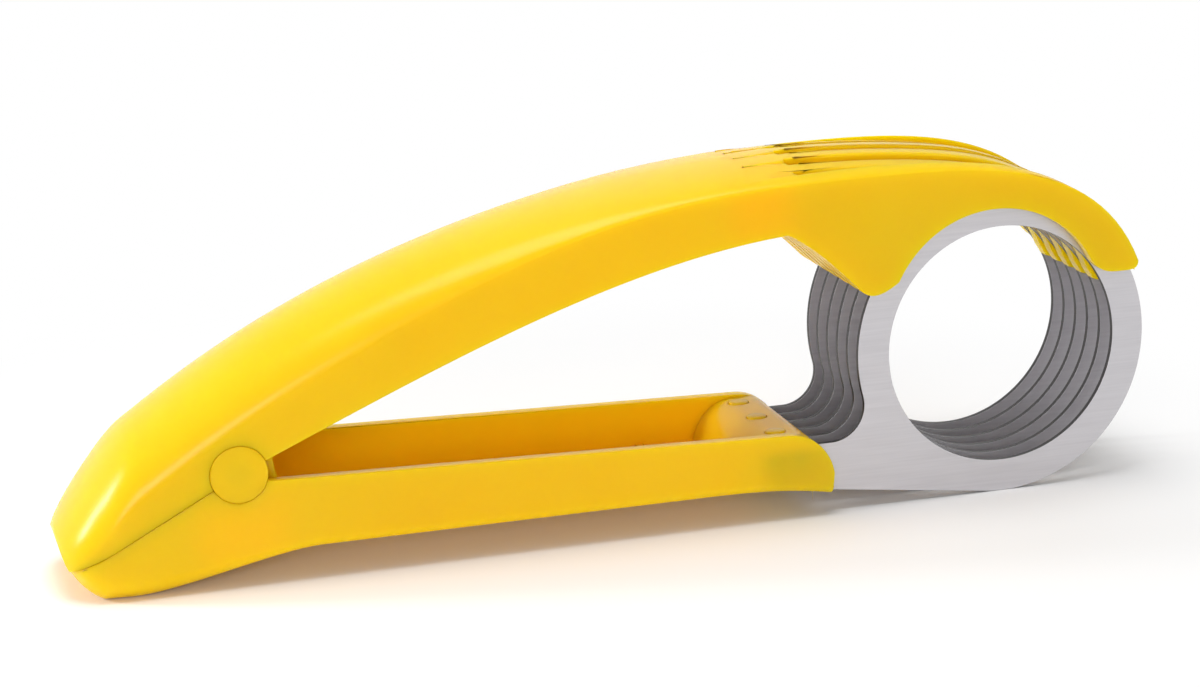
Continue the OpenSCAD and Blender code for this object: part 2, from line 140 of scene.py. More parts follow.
# %% [markdown]
# ## Helpers for meshes
#
# Three kinds of solid are enough for the arms: a skin through a row of cross-sections, a side
# outline that is given a thickness, and a round bar. Booleans join and cut them, as a maker
# would think of it: a shell, minus its hollow, minus the slots. The exact solver needs closed
# solids with faces outwards, so each mesh has its normals set as it is made.


# %% Solids from points
def solid(name, points, faces):
    mesh = bpy.data.meshes.new(name)
    mesh.from_pydata([[c / 1000 for c in p] for p in points], [], faces)
    bm = bmesh.new()
    bm.from_mesh(mesh)
    bmesh.ops.remove_doubles(bm, verts=bm.verts, dist=1e-7)
    bmesh.ops.recalc_face_normals(bm, faces=bm.faces)
    if bm.calc_volume(signed=True) < 0:
        bmesh.ops.reverse_faces(bm, faces=bm.faces)
    bm.to_mesh(mesh)
    bm.free()
    thing = bpy.data.objects.new(name, mesh)
    bpy.context.scene.collection.objects.link(thing)
    return thing


def skin(name, rows):
    m, n = len(rows[0]), len(rows)
    faces = [list(range(m)), [(n - 1) * m + j for j in reversed(range(m))]]
    faces += [[i * m + j, (i + 1) * m + j, (i + 1) * m + (j + 1) % m, i * m + (j + 1) % m]
              for i in range(n - 1) for j in range(m)]
    return solid(name, [p for row in rows for p in row], faces)


def side(name, outline, y0, y1):
    return skin(name, [[(x, y, z) for x, z in outline] for y in (y0, y1)])


def bar(name, x, z, r, y0, y1, steps=128):
    ring = [(x + r * cos(2 * pi * k / steps), z + r * sin(2 * pi * k / steps)) for k in range(steps)]
    return side(name, ring, y0, y1)


def block(name, low, high):
    return side(name, [(low[0], low[2]), (high[0], low[2]), (high[0], high[2]), (low[0], high[2])],
                low[1], high[1])


# %% Modifiers that are applied at once
def applied(thing):
    bpy.context.view_layer.update()
    graph = bpy.context.evaluated_depsgraph_get()
    made = bpy.data.meshes.new_from_object(thing.evaluated_get(graph), preserve_all_data_layers=True,
                                           depsgraph=graph)
    thing.modifiers.clear()
    thing.data = made
    return thing


def boolean(thing, tool, operation):
    step = thing.modifiers.new(operation.lower(), "BOOLEAN")
    step.operation, step.object, step.solver = operation, tool, "EXACT"
    applied(thing)
    bpy.data.objects.remove(tool)
    return thing


def cut(thing, *tools):
    for tool in tools:
        boolean(thing, tool, "DIFFERENCE")
    return thing


def join(thing, *others):
    for other in others:
        boolean(thing, other, "UNION")
    return thing


def common(thing, other):
    return boolean(thing, other, "INTERSECT")


def ease_edges(thing, width, sharp=32, segments=2):
    """Rounds the edges that are sharper than an angle in degrees, as a mould does."""
    bm = bmesh.new()
    bm.from_mesh(thing.data)
    bmesh.ops.remove_doubles(bm, verts=bm.verts, dist=2e-5)
    bmesh.ops.dissolve_limit(bm, angle_limit=radians(0.05), verts=bm.verts, edges=bm.edges)
    bm.to_mesh(thing.data)
    bm.free()
    edge = thing.modifiers.new("rounded edges", "BEVEL")
    edge.width, edge.segments = width / 1000, segments
    edge.limit_method, edge.angle_limit = "ANGLE", radians(sharp)
    edge.use_clamp_overlap = False
    edge.miter_outer = "MITER_ARC"
    applied(thing)
    return shade(thing, 40, weigh=True)


def shade(thing, sharp, weigh=False):
    """Shades smoothly up to an angle in degrees, and with weigh, keeps large flat faces flat."""
    thing.data.shade_smooth()
    thing.data.set_sharp_from_angle(angle=radians(sharp))
    if weigh:
        step = thing.modifiers.new("flat faces", "WEIGHTED_NORMAL")
        step.keep_sharp, step.weight = True, 80
        applied(thing)
    return thing


def set_down(thing, angle, place):
    """Turns a piece about X by an angle in degrees and moves it to its place in millimetres."""
    thing.data.transform(Matrix.Rotation(radians(angle), 4, "X"))
    thing.data.transform(Matrix.Translation(Vector(place) / 1000))
    return thing


def say(thing):
    size = 1000 * (np.array(thing.bound_box).max(0) - np.array(thing.bound_box).min(0))
    thing.data.calc_loop_triangles()
    print(thing.name, "is", " x ".join(f"{v:.1f}" for v in size), "mm,",
          len(thing.data.loop_triangles), "triangles")
    return thing


# %% Curves
def bez(p, t):
    a, b, c, d = (np.array(q, float) for q in p)
    return (1 - t) ** 3 * a + 3 * (1 - t) ** 2 * t * b + 3 * (1 - t) * t * t * c + t ** 3 * d


def bez_way(p, t):
    a, b, c, d = (np.array(q, float) for q in p)
    way = (1 - t) ** 2 * (b - a) + 2 * (1 - t) * t * (c - b) + t * t * (d - c)
    return way / np.linalg.norm(way)


def curve(p, n, first=0):
    return [tuple(bez(p, i / n)) for i in range(first, n + 1)]


def along(start, angle, length):
    return (start[0] + length * cos(radians(angle)), start[1] + length * sin(radians(angle)))


def ease(t):
    u = min(1.0, max(0.0, t))
    return u * u * (3 - 2 * u)


# %% [markdown]
# ## The curves of the two arms
#
# The back of the upper arm is one long curve in three parts: the tail, the back, and the nose
# over the rings. Its top is crowned: high and round at the tail, nearly flat at the comb. The
# lower arm hangs under it like a boat, with its foot near the tail and a rise in the middle, so
# that fingers fit under it. Both arms share one outline from above, round at the tail and
# straight along the sides.

# %% Curves of the arms
TAIL_TIP = (TAIL_X, 9.5)
KNEE = (TAIL_X + 13.2, KNEE_H)
CREST = (RING_X - 24, CREST_H)
NOSE = (RING_X + RIM_R - 1.9, RING_Z + 13)
TAIL_CURVE = [TAIL_TIP, (TAIL_X + 0.4, 10.5), along(KNEE, KNEE_ANGLE, -5.3), KNEE]
BACK_CURVE = [KNEE, along(KNEE, KNEE_ANGLE, 14), (CREST[0] - 77.5, CREST_H), CREST]
NOSE_CURVE = [(CREST[0], CREST_H - CROWN_COMB), (CREST[0] + 21.2, CREST_H - CROWN_COMB),
              along(NOSE, 112, 20.3), NOSE]
FOOT_X, FOOT_LEN = TAIL_X + 6.7, 4.6
UNDER_TAIL = [TAIL_TIP, (TAIL_X + 0.8, 2.0), (FOOT_X - 0.4, 0), (FOOT_X, 0)]
UNDER_RISE = [(FOOT_X + FOOT_LEN, 0), (FOOT_X + FOOT_LEN + 8, 0), (FOOT_X + 27.5, ARCH_H),
              (FOOT_X + 36, ARCH_H)]
UNDER_FRONT = [(WALL_FRONT_X - 22, ARCH_H), (WALL_FRONT_X - 12, ARCH_H), (WALL_FRONT_X - 6, 5.2),
               (WALL_FRONT_X + 2, 3.5)]


def crown(x):
    """How far the middle of the back stands above its sides."""
    if x < CREST[0]:
        return CROWN_TAIL + (CROWN_COMB - CROWN_TAIL) * ease((x - PIVOT_X) / (CREST[0] - 30 - PIVOT_X))
    return CROWN_COMB * max(0, 1 - (1.3 * (x - CREST[0]) / (NOSE[0] - CREST[0])) ** 2)


def crown_power(x):
    """1 is an ellipse; a higher power is flatter at the sides and rounder on top."""
    return 1 + 0.15 * ease((x - PIVOT_X) / 80)


def half_width(x, t):
    """Half the width of an arm, seen from above, t inside its surface."""
    r = TAIL_CORNER - t
    u = max(0, r - (x - TAIL_X - t))
    return HALF_W - t - r + sqrt(max(0, r * r - u * u))


def back_line(t, n):
    """Places along tail and back, t under the surface, that always go forward."""
    rows = []
    for curve_points, steps in ((TAIL_CURVE, n), (BACK_CURVE, 2 * n)):
        for i in range(steps):
            at, way = bez(curve_points, i / steps), bez_way(curve_points, i / steps)
            rows.append((at[0] + t * way[1], at[1] - t * way[0]))
    return [r for i, r in enumerate(rows) if i == 0 or r[0] > max(q[0] for q in rows[:i]) + 0.02]


def nose_line(n):
    return [(q[0], q[1] + crown(q[0])) for q in curve(NOSE_CURVE, n)]


def crown_section(at, t, n, z0):
    high = min(crown(at[0]) - 0.7 * t, 0.5 * at[1])
    w, power = half_width(at[0], t), crown_power(at[0])
    top = []
    for i in range(n + 1):
        a = pi - pi * i / n
        y = w * (1 if cos(a) > 0 else -1) * abs(cos(a)) ** power
        top.append((at[0], y, at[1] - high + high * abs(sin(a)) ** power))
    return [(at[0], -w, z0)] + top + [(at[0], w, z0)]


def keel_section(x, z, t, n):
    w = half_width(x, t)
    r = max(0.6, KEEL_R + 2.5 * (1 - ease((x - FOOT_X) / 34)) - t)
    k = min(r, w - 1)
    right = [(x, w - k + k * cos(-pi / 2 * i / n), z + r + r * sin(-pi / 2 * i / n)) for i in range(n + 1)]
    return [(x, w, FAR)] + right + [(x, -y, q) for x, y, q in reversed(right)] + [(x, -w, FAR)]


def under_line(n):
    return curve(UNDER_TAIL, n) + curve(UNDER_RISE, n) + curve(UNDER_FRONT, n)


def parting_z(x):
    """Height of the slanting line where the two tails meet."""
    return PIVOT_H + (x - PIVOT_X) * tan(radians(PARTING_ANGLE))


PART_SHIFT = ARM_GAP / 2 / cos(radians(PARTING_ANGLE))
print("the back is drawn with", len(back_line(0, 20)) + len(nose_line(24)), "cross-sections")

# %% [markdown]
# ## What repeats
#
# Blades, tangs, ribs and pegs all stand in a row at an even pitch. One geometry tree makes any
# row: it puts a point for each copy on a line, sets one shape on each point, and makes the
# copies real. Its count, step and first place are named inputs, so the same tree serves them
# all. Copies could also be made with an Array modifier, but the tree keeps the places as
# numbers that are easy to read.


# %% A tree that makes a row
def row_tree():
    tree = bpy.data.node_groups.new("row", "GeometryNodeTree")
    face = tree.interface
    face.new_socket("Geometry", in_out="INPUT", socket_type="NodeSocketGeometry")
    for name, kind in (("Count", "NodeSocketInt"), ("First", "NodeSocketVector"), ("Step", "NodeSocketVector"),
                       ("Finish", "NodeSocketMaterial")):
        face.new_socket(name, in_out="INPUT", socket_type=kind)
    face.new_socket("Geometry", in_out="OUTPUT", socket_type="NodeSocketGeometry")
    add, link = tree.nodes.new, tree.links.new
    given, out = add("NodeGroupInput"), add("NodeGroupOutput")
    line, copies = add("GeometryNodeMeshLine"), add("GeometryNodeInstanceOnPoints")
    real, finish = add("GeometryNodeRealizeInstances"), add("GeometryNodeSetMaterial")
    line.mode = "OFFSET"
    link(given.outputs["Count"], line.inputs["Count"])
    link(given.outputs["First"], line.inputs["Start Location"])
    link(given.outputs["Step"], line.inputs["Offset"])
    link(line.outputs["Mesh"], copies.inputs["Points"])
    link(given.outputs["Geometry"], copies.inputs["Instance"])
    link(copies.outputs["Instances"], real.inputs["Geometry"])
    link(real.outputs["Geometry"], finish.inputs["Geometry"])
    link(given.outputs["Finish"], finish.inputs["Material"])
    link(finish.outputs["Geometry"], out.inputs["Geometry"])
    return tree


def run_tree(thing, tree, **values):
    """Runs a tree on a piece and keeps the result as a plain mesh."""
    step = thing.modifiers.new(tree.name, "NODES")
    step.node_group = tree
    for item in tree.interface.items_tree:
        if item.in_out == "INPUT" and item.name in values:
            step[item.identifier] = values[item.name]
    return applied(thing)


ROW = row_tree()


def row(thing, count, first, step, finish=None):
    inputs = {"Count": count, "First": Vector(first) / 1000, "Step": Vector(step) / 1000}
    if finish:
        inputs["Finish"] = finish
    return run_tree(thing, ROW, **inputs)


print("row tree with", len(ROW.nodes), "nodes")

# %% [markdown]
# ## Finishes
#
# Yellow plastic and two kinds of steel cover the tool. The arms are glossy moulded plastic. Light
# goes a few millimetres into it and comes out again, which softens the shadows, so the shader
# scatters light under the surface. Its colour wanders slightly and its skin has a very fine
# unevenness. The caps, the pegs and the holder are small solid pieces and get a little less of
# that light. The wall of the lower arm has painted shade: its colour is darker where the steel
# tangs stand behind it, for the light that they keep from coming through the thin wall.
#
# The blades are sheet steel brushed along their length: the grain is a noise that is stretched
# many times along X, and it drives the roughness and a shallow bump. Their cut edges carry
# painted shade: they are left nearly black, which a number on each face tells the shader, so
# that they show as dark lines between the plates and catch no highlight. The pins and the
# spring are drawn steel, smoother and a little darker. All patterns read the piece's own Object
# coordinates in metres, so they stay on the piece from every side.


# %% A start for each finish
def finish(name):
    material = bpy.data.materials.new(name)
    material.use_nodes = True
    nodes, links = material.node_tree.nodes, material.node_tree.links
    shader = nodes["Principled BSDF"]
    place = nodes.new("ShaderNodeTexCoord").outputs["Object"]
    return material, nodes, links, shader, place


def noise(nodes, links, place, scale, stretch=(1, 1, 1), detail=2.0):
    grain, mapped = nodes.new("ShaderNodeTexNoise"), nodes.new("ShaderNodeMapping")
    mapped.inputs["Scale"].default_value = stretch
    grain.inputs["Scale"].default_value, grain.inputs["Detail"].default_value = scale, detail
    links.new(place, mapped.inputs["Vector"])
    links.new(mapped.outputs["Vector"], grain.inputs["Vector"])
    return grain.outputs["Fac"]


def ramp(nodes, links, value, low, high, start=0.3, end=0.7):
    """A number or a colour that goes from low to high with the noise."""
    if isinstance(low, tuple):
        step = nodes.new("ShaderNodeValToRGB")
        for stop, at, colour in zip(step.color_ramp.elements, (start, end), (low, high)):
            stop.position, stop.color = at, (*colour, 1)
        links.new(value, step.inputs["Fac"])
        return step.outputs["Color"]
    step = nodes.new("ShaderNodeMapRange")
    for name, number in (("From Min", start), ("From Max", end), ("To Min", low), ("To Max", high)):
        step.inputs[name].default_value = number
    links.new(value, step.inputs["Value"])
    return step.outputs["Result"]


def bump(nodes, links, shader, height, distance, strength):
    step = nodes.new("ShaderNodeBump")
    step.inputs["Distance"].default_value, step.inputs["Strength"].default_value = distance, strength
    links.new(height, step.inputs["Height"])
    links.new(step.outputs["Normal"], shader.inputs["Normal"])


# %% Yellow plastic
def yellow_plastic(name, clear, with_tang_shade=False):
    """Clear is the share of light that goes in; the last argument adds painted shade on the wall in front of
    the tangs.
    """
    material, nodes, links, shader, place = finish(name)
    cloud = noise(nodes, links, place, 35, detail=3)
    colour = ramp(nodes, links, cloud, (0.94, 0.505, 0.003), (0.97, 0.535, 0.005))
    # Painted shade: a darker colour where the tangs stand behind the wall.
    if with_tang_shade:
        colour = paint_tang_shade(nodes, links, place, colour)
    links.new(colour, shader.inputs["Base Color"])
    links.new(ramp(nodes, links, noise(nodes, links, place, 160), 0.22, 0.27), shader.inputs["Roughness"])
    bump(nodes, links, shader, noise(nodes, links, place, 700), 0.00001, 0.15)
    shader.inputs["IOR"].default_value = 1.45
    shader.inputs["Specular IOR Level"].default_value = 0.18
    shader.inputs["Subsurface Weight"].default_value = clear
    shader.inputs["Subsurface Radius"].default_value = (1.0, 0.85, 0.2)
    shader.inputs["Subsurface Scale"].default_value = 0.006
    return material


def paint_tang_shade(nodes, links, place, colour):
    """Painted shade: the wall is darkened where the steel tangs stand behind it, for the light they keep from
    coming through the thin plastic.
    """
    parts = nodes.new("ShaderNodeSeparateXYZ")
    links.new(place, parts.inputs["Vector"])
    masks = []
    for axis, start, end in (("X", 0.0215, 0.0275), ("Z", 0.0140, 0.0110)):
        step = nodes.new("ShaderNodeMapRange")
        step.interpolation_type = "SMOOTHSTEP"
        step.inputs["From Min"].default_value, step.inputs["From Max"].default_value = start, end
        links.new(parts.outputs[axis], step.inputs["Value"])
        masks.append(step.outputs["Result"])
    both = nodes.new("ShaderNodeMath")
    both.operation = "MULTIPLY"
    links.new(masks[0], both.inputs[0])
    links.new(masks[1], both.inputs[1])
    mix = nodes.new("ShaderNodeMix")
    mix.data_type = "RGBA"
    mix.inputs["B"].default_value = (0.73, 0.47, 0.006, 1)
    links.new(both.outputs[0], mix.inputs["Factor"])
    links.new(colour, mix.inputs["A"])
    return mix.outputs["Result"]


def brushed_steel():
    material, nodes, links, shader, place = finish("blade_steel")
    lines = noise(nodes, links, place, 2600, stretch=(0.03, 1, 1), detail=3)
    # Painted shade: faces marked as cut edges turn nearly black, for the shadow lines between the plates.
    rim, mix = nodes.new("ShaderNodeAttribute"), nodes.new("ShaderNodeMix")
    rim.attribute_name, mix.data_type = "painted_dark_edge", "RGBA"
    mix.inputs["B"].default_value = (0.05, 0.047, 0.047, 1)
    links.new(rim.outputs["Fac"], mix.inputs["Factor"])
    links.new(ramp(nodes, links, lines, (0.53, 0.515, 0.535), (0.58, 0.565, 0.585)), mix.inputs["A"])
    links.new(mix.outputs["Result"], shader.inputs["Base Color"])
    links.new(ramp(nodes, links, lines, 0.40, 0.46), shader.inputs["Roughness"])
    bump(nodes, links, shader, lines, 0.000004, 0.3)
    shader.inputs["Metallic"].default_value = 1
    return material


def drawn_steel():
    material, nodes, links, shader, place = finish("pin_steel")
    spots = noise(nodes, links, place, 600, detail=3)
    links.new(ramp(nodes, links, spots, (0.46, 0.46, 0.48), (0.58, 0.58, 0.60)), shader.inputs["Base Color"])
    links.new(ramp(nodes, links, spots, 0.18, 0.32), shader.inputs["Roughness"])
    bump(nodes, links, shader, spots, 0.00001, 0.2)
    shader.inputs["Metallic"].default_value = 1
    return material


YELLOW = yellow_plastic("yellow_plastic", 0.9)
# The lower arm's plastic, with painted shade where the tangs stand behind its wall.
TANG_SHADED_YELLOW = yellow_plastic("yellow_with_painted_tang_shade", 0.9, True)
SMALL = yellow_plastic("yellow_solid", 0.6)
STEEL, PIN = brushed_steel(), drawn_steel()
print("finishes", [m.name for m in (YELLOW, TANG_SHADED_YELLOW, SMALL, STEEL, PIN)])


def dress(thing, material, slot, body, *nodes):
    """Gives a finished piece its material and its body, and lets it stand for CAD nodes."""
    thing.data.materials.clear()
    thing.data.materials.append(material)
    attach(thing, body)
    if nodes:
        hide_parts(*nodes)
    return say(thing)


# %% [markdown]
# ## The upper arm
#
# The upper arm is a long shell with a crowned back. At the front it turns into a solid comb with
# six slots from above, one for each ring, and its heel and toe reach down between the rings. Two
# round lugs under the roof take the pivot pin, and four thin ribs stiffen the roof. Between the
# two outer walls the tops of the teeth sink a little, and each of the four inner slots begins as
# a shallow groove in the back.
#
# It is made as the mould maker would cut it: one skin for the outside, trimmed to the side
# outline, then the hollow and the pin's hole, the dip over the teeth with its grooves, the slots
# and last the round cuts over the fruit come off. The order matters: with the grooves after the
# slots, the exact solver returns nothing. Every curve is fine enough that no facet shows, and
# the edges are rounded last.

# %% Side outline of the upper arm
EDGE_START = along((PIVOT_X, PIVOT_H), EDGE_ANGLE, CAP_D / 2)
COMB_Z, TOE_X = RING_Z + COMB_DROP, RING_X - RIM_R + 1.1
HEEL_TOP = (RING_X - RIM_R - 13, COMB_Z + 12.1)
EDGE_CURVE = [EDGE_START, along(EDGE_START, EDGE_ANGLE, 30), (HEEL_TOP[0] - 30, HEEL_TOP[1] - 2.2), HEEL_TOP]
HEEL_CURVE = [HEEL_TOP, (HEEL_TOP[0] + 4.5, HEEL_TOP[1] - 2.4), (TOE_X - 5.2, COMB_Z + 5.2),
              (TOE_X - 1.2, COMB_Z + 1.2)]
TOE_CURVE = [HEEL_CURVE[-1], (TOE_X + 0.6, COMB_Z - 0.5), (TOE_X + 2.6, COMB_Z - 0.3),
             (TOE_X + 6.5, COMB_Z + 2.6)]


def leg_curve(z):
    return [(RING_X + 15.4, z + 3), (RING_X + 17.4, z + 0.3), (RING_X + 18.6, z - 0.1), (NOSE[0] - 3, z)]


def tip_curve(z):
    return [(NOSE[0] - 2, z), (NOSE[0] - 0.6, z + 0.1), (NOSE[0] - 0.1, z + 0.4), (NOSE[0], z + 1.4)]


upper_outline = ([(TAIL_X - 1, FAR), (TAIL_X - 1, parting_z(TAIL_X - 1) + PART_SHIFT),
                  (PIVOT_X, PIVOT_H + PART_SHIFT)]
                 + curve(EDGE_CURVE, 48) + curve(HEEL_CURVE, 20, 1) + curve(TOE_CURVE, 16, 1)
                 + curve(leg_curve(COMB_Z), 14) + curve(tip_curve(COMB_Z), 8)
                 + [(NOSE[0] + 5, COMB_Z + 8), (NOSE[0] + 5, FAR)])
print("side outline with", len(upper_outline), "points")


# %% Shell and hollow of the upper arm
def upper_shell():
    shell = skin("upper_arm_shell", [crown_section(s, 0, 40, 0) for s in back_line(0, 20) + nose_line(26)])
    common(shell, side("outline", upper_outline, -HALF_W, HALF_W))
    below = curve(UNDER_TAIL, 16) + [(FOOT_X, -FAR), (TAIL_X - 5, -FAR), (TAIL_X - 5, TAIL_TIP[1])]
    return cut(shell, side("below", below, -HALF_W - 1, HALF_W + 1))


def roof_rib():
    return block("rib", (COMB_ROOT_X - 14, -HALF_W, 0), (COMB_ROOT_X - 14 + 1.4, HALF_W, FAR))


def upper_hollow():
    hollow = skin("hollow", [crown_section(s, WALL, 32, -1) for s in back_line(WALL, 20)])
    common(hollow, block("front", (TAIL_X, -HALF_W, -2), (COMB_ROOT_X, HALF_W, FAR)))
    ribs = row(roof_rib(), 4, (0, 0, 0), (-14, 0, 0))
    edge = curve(EDGE_CURVE, 48)
    over = [(x, z + 4.5) for x, z in edge] + [(edge[-1][0], FAR), (edge[0][0], FAR)]
    return cut(hollow, common(ribs, side("over_edge", over, -HALF_W, HALF_W)))


upper = cut(upper_shell(), upper_hollow())
say(upper)

# %% Slots of the comb
RUN_END, RUN_LEN, RUN_DEEP, MOUTH = SLOT_BACK_X + 4, 8.0, 0.7, 0.25
FIN_DIP, FIN_CROWN, FIN_EDGE = 1.0, 2.5, 13
TOP_X, TOP_Z = zip(*(back_line(0, 20) + nose_line(26)))


def fin_top(x, y):
    """Height of the fins' tops: they curve more than the walls beside them and sink a little."""
    power = crown_power(x)
    drop = crown(x) * (1 - (1 - (abs(y) / HALF_W) ** (2 / power)) ** (power / 2))
    arch = (FIN_CROWN * (y / 12.5) ** 2 - drop) * ease((x - 22) / 14) * (1 - ease((x - 72) / 12))
    sink = FIN_DIP * ease((x - 30) / 30) * (1 - ease((x - 76) / 12))
    return np.interp(x, TOP_X, TOP_Z) - drop - (arch + sink) + 0.04


def fin_dip():
    """What lies above the fins, between the two walls."""
    wide = range(-FIN_EDGE, FIN_EDGE + 1)
    return skin("dip", [[(x, y, fin_top(x, y)) for y in wide] + [(x, FIN_EDGE, FAR), (x, -FIN_EDGE, FAR)]
                        for x in TOP_X if 21 < x < 89])


def slot(i):
    """A cut right through the comb, with a sloped mouth on the fins' sides."""
    near, far = max(-INNER_W, BLADE_Y[i] - SLOT_W / 2), min(INNER_W, BLADE_Y[i] + SLOT_W / 2)
    spread_near, spread_far = 5 * (i > 0), 5 * (i < BLADES - 1)
    rows = []
    for x in [RUN_END] + [x for x in TOP_X if RUN_END + 1 < x < NOSE[0] - 0.3] + [FAR]:
        deep = (MOUTH + 0.1) * ease((x - RUN_END + 2) / 10) * (1 - ease((x - 84) / 6)) - 0.1
        steep = sqrt(1 + ((np.interp(x + 1, TOP_X, TOP_Z) - np.interp(x - 1, TOP_X, TOP_Z)) / 2) ** 2)
        left, right = (fin_top(min(x, NOSE[0]), y) - deep * steep for y in (near, far))
        rows.append([(x, near, 0), (x, far, 0), (x, far, right), (x, far + spread_far, right + 5 * steep),
                     (x, near - spread_near, left + 5 * steep), (x, near, left)])
    return skin("slot", rows)


def run(i):
    """A shallow groove that starts as a point in the back and grows into the slot."""
    rows, steps = [], 12
    for k in range(steps + 1):
        part = max((k / steps) ** 1.3, 0.12)
        x = RUN_END + 0.4 - RUN_LEN * (1 - k / steps)
        wide, deep = SLOT_W / 4 * part, RUN_DEEP * part
        ys = [BLADE_Y[i] + wide * t for t in (-1.5, -0.6, 0, 0.6, 1.5)]
        low = [fin_top(x, y) + deep * t for y, t in zip(ys, (0.7, -0.7, -1, -0.7, 0.7))]
        rows.append([(x, y, z) for y, z in zip(ys, low)] + [(x, ys[-1], low[-1] + 2), (x, ys[0], low[0] + 2)])
    return skin("run", rows)


# %% Lugs, teeth and cuts of the upper arm
LUG_IN = INNER_W - 2 * LUG_GAP - LUG_T


def upper_lug(y0, y1):
    eye = bar("lug", PIVOT_X, PIVOT_H, PIN_D / 2 + 3.6, y0, y1, 96)
    stem = [(PIVOT_X - 5.6, PIVOT_H), (PIVOT_X + 5.6, PIVOT_H), (PIVOT_X + 7.6, PIVOT_H + 17),
            (PIVOT_X - 6.4, PIVOT_H + 9.2)]
    return join(eye, side("stem", stem, y0 + 0.001, y1 - 0.001))


def inner_teeth():
    low = COMB_Z - TOOTH_EXTRA
    outline = ([(RING_X + 12, COMB_Z + 12)] + curve(leg_curve(low), 14) + curve(tip_curve(low), 8)
               + [(NOSE[0] - 1.5, COMB_Z + 6)])
    return side("teeth", outline, SIDE_GAP - INNER_W, INNER_W - SIDE_GAP)


def cap_recess(s):
    ends = sorted((s * (INNER_W - LUG_GAP), s * (HALF_W + 1)))
    return bar("recess", PIVOT_X, PIVOT_H, CAP_D / 2 + CAP_GAP, *ends)


lug_ends = (LUG_IN - LUG_GAP - LUG_T, LUG_IN - LUG_GAP)
join(upper, upper_lug(*lug_ends), upper_lug(-lug_ends[1], -lug_ends[0]), inner_teeth())
cut(upper, bar("pin_hole", PIVOT_X, PIVOT_H, PIN_D / 2 + 0.05, -HALF_W, HALF_W, 96),
    cap_recess(1), cap_recess(-1), fin_dip(),
    *[run(i) for i in range(1, BLADES - 1)], *[slot(i) for i in range(BLADES)],
    bar("fruit", RING_X - 1.9, RING_Z + 4.6, RING_R - COMB_INSET, -HALF_W - 1, HALF_W + 1, 160),
    bar("clear", RING_X, RING_Z, RING_R - FIN_IN, -FIN_EDGE, FIN_EDGE, 160))
ease_edges(upper, 0.22)
dress(upper, YELLOW, "yellow_plastic", "press", "upper_arm")

# %% [markdown]
# ## The lower arm
#
# The lower arm is an open trough. Its walls are straight along the sides, its lower edges are
# rounded, and the round tail is flat underneath for a short way, so that the tool stands on it.
# Four low ribs cross its floor. Two lugs stand beside the walls, outside those of the upper arm.
# It is made the same way: the outside skin, its outline, then the hollow and the holes.

# %% The trough
TANG_Z = RING_Z - THROAT_DROP - TANG_H
PIN_Z, PIN_X = TANG_Z + TANG_H / 2, (SHANK_X - 2.6, SHANK_X - 7.6)
PEG_X, PEG_Y, PEG_FOOT = SHANK_X - 5.5, (-2 * PITCH, 0, 2 * PITCH), ARCH_H + 0.4
FRONT_TOP = (WALL_FRONT_X - 7.4, RIM_FRONT)
FRONT_CURVE = [FRONT_TOP, (FRONT_TOP[0] + 5.2, FRONT_TOP[1] - 0.2), (WALL_FRONT_X + 0.4, RIM_FRONT - 4.4),
               (WALL_FRONT_X + 0.8, 7.6)]

lower_outline = ([(TAIL_X - 1, -1), (TAIL_X - 1, parting_z(TAIL_X - 1) - PART_SHIFT),
                  (PIVOT_X, PIVOT_H - PART_SHIFT), (PIVOT_X + CAP_D / 2 + 0.2, RIM_BACK)]
                 + curve(FRONT_CURVE, 24)
                 + [(WALL_FRONT_X + 0.4, 3.4), (WALL_FRONT_X + 0.4, -1)])


def trough_x(x):
    """Moves the hollow's tail end forward, so that the tail wall is as thick as the others."""
    return x if x > FOOT_X else FOOT_X - (FOOT_X - x) * (FOOT_X - TAIL_X - WALL) / (FOOT_X - TAIL_X)


def trough_hollow():
    hollow = skin("trough", [keel_section(trough_x(x), z + FLOOR_T, WALL, 8) for x, z in under_line(12)])
    rib = block("rib", (SHANK_X - 24, -HALF_W, 0), (SHANK_X - 24 + 1.4, HALF_W, ARCH_H + FLOOR_T + 0.7))
    return cut(hollow, row(rib, 4, (0, 0, 0), (-16, 0, 0)))


lower = skin("lower_arm_trough", [keel_section(x, z, 0, 10) for x, z in under_line(16)])
common(lower, side("outline", lower_outline, -HALF_W, HALF_W))
cut(lower, trough_hollow())
say(lower)


# %% Lugs and holes of the lower arm
def lower_lug(s):
    near, far = sorted((s * LUG_IN, s * (LUG_IN + LUG_T)))
    eye = bar("lug", PIVOT_X, PIVOT_H, PIN_D / 2 + 4.2, near, far, 96)
    foot = [(PIVOT_X - 6.2, PIVOT_H), (PIVOT_X - 9, 3), (PIVOT_X + 9.4, ARCH_H + 0.8), (PIVOT_X + 6.2, PIVOT_H)]
    join(eye, side("foot", foot, near + 0.001, far - 0.001))
    pad = [(PIVOT_X - 8, 4), (PIVOT_X - 8, parting_z(PIVOT_X - 8) - 1), (PIVOT_X, PIVOT_H - 1),
           (PIVOT_X + 8, RIM_BACK - 1), (PIVOT_X + 8, ARCH_H + 1)]
    near, far = sorted((s * (LUG_IN + LUG_T - 0.2), s * (INNER_W + 0.2)))
    return join(eye, side("pad", pad, near, far))


def peg_hole():
    hole = set_down(bar("peg_hole", 0, 0, 1, 0, FAR, 48), 90, (PEG_X, 0, PEG_FOOT))
    return row(hole, 3, (0, PEG_Y[0], 0), (0, PEG_Y[2], 0))


